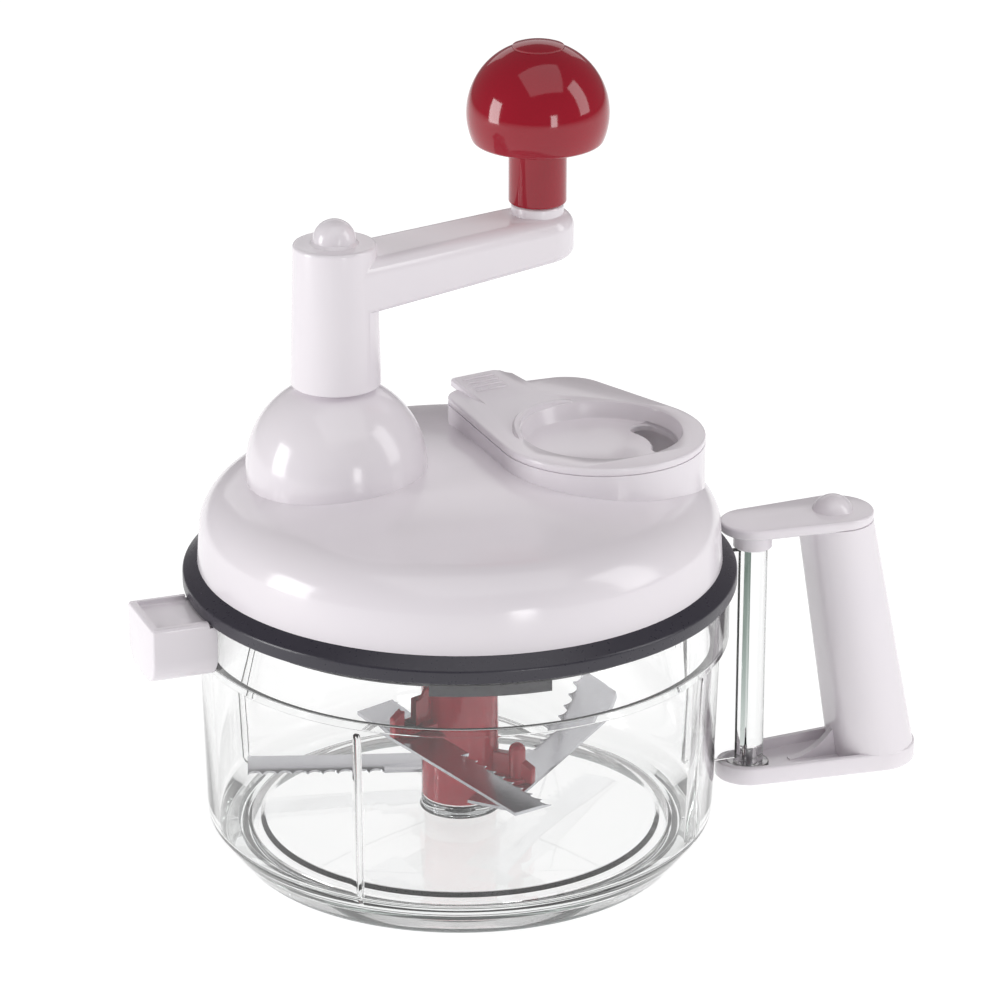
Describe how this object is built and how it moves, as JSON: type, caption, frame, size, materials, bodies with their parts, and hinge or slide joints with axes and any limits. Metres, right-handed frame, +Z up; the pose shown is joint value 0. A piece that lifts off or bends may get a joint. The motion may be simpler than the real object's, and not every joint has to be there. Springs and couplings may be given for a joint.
{
  "type": "crank food chopper",
  "caption": "Hand cranked food chopper: clear bowl with side handle, white lid with feed chute and funnel stopper, geared crank, and swept scalloped blades on a hub.",
  "frame": {"origin": "on the blade axis, in the plane that the foot stands on", "axes": "+Z up along the blade axis, +X from the blade axis towards the side handle, +Y the right hand way from them"},
  "size_m": [0.2568, 0.17, 0.2483],
  "materials": {
    "clear_plastic": "clear, polished",
    "white_plastic": "gloss",
    "dark_plastic": "satin",
    "red_plastic": "gloss",
    "gear_plastic": "satin",
    "soft_rubber": "matt",
    "steel": "brushed"
  },
  "bodies": {
    "bowl": {"bowl": "clear_plastic", "foot_ring": "soft_rubber", "centre_pin": "steel", "side_lug": "white_plastic", "handle": "white_plastic", "handle_top_plate": "white_plastic", "handle_tie_screw": "steel", "handle_cap": "white_plastic", "handle_column_screw": "steel"},
    "seal": {"rim_seal": "soft_rubber"},
    "lid": {"lid_shell": "white_plastic", "lid_base": "dark_plastic", "lid_base_screws": "steel", "upper_bush": "gear_plastic", "lower_bush": "gear_plastic"},
    "crank": {"crank_shaft": "steel", "drive_gear": "gear_plastic", "gear_snap_ring": "steel", "crank_arm": "white_plastic", "crank_screw": "steel", "crank_cap": "white_plastic", "knob_spindle": "steel"},
    "pinion": {"pinion": "gear_plastic"},
    "rotor": {"blade_hub": "red_plastic", "blade_rivets": "steel", "blade_low": "steel", "blade_middle": "steel", "blade_high": "steel"},
    "knob": {"knob": "red_plastic", "knob_cap": "red_plastic"},
    "stopper": {"feed_stopper": "white_plastic"}
  },
  "joints": [
    {"name": "lid_lift", "type": "slide", "parent": "bowl", "child": "seal", "axis": [0, 0, 1], "range_m": [0, 0.12]},
    {"name": "lid_turn", "type": "hinge", "parent": "seal", "child": "lid", "pos_m": [0, 0, 0], "axis": [0, 0, -1], "range_deg": [0, 25]},
    {"name": "crank_turn", "type": "hinge", "parent": "lid", "child": "crank", "pos_m": [-0.03524, 0.01283, 0.18], "axis": [0, 0, 1], "continuous": true},
    {"name": "pinion_spin", "type": "hinge", "parent": "lid", "child": "pinion", "pos_m": [0, 0, 0.106], "axis": [0, 0, 1], "continuous": true},
    {"name": "blade_spin", "type": "hinge", "parent": "bowl", "child": "rotor", "pos_m": [0, 0, 0.05], "axis": [0, 0, 1], "continuous": true},
    {"name": "knob_spin", "type": "hinge", "parent": "crank", "child": "knob", "pos_m": [0.0339, 0.02378, 0.22], "axis": [0, 0, 1], "continuous": true},
    {"name": "stopper_lift", "type": "slide", "parent": "lid", "child": "stopper", "axis": [0, 0, 1], "range_m": [0, 0.034]}
  ],
  "couplings": [
    {"joint": "pinion_spin", "follows": "crank_turn", "ratio": -4},
    {"joint": "blade_spin", "follows": "crank_turn", "ratio": -4}
  ]
}
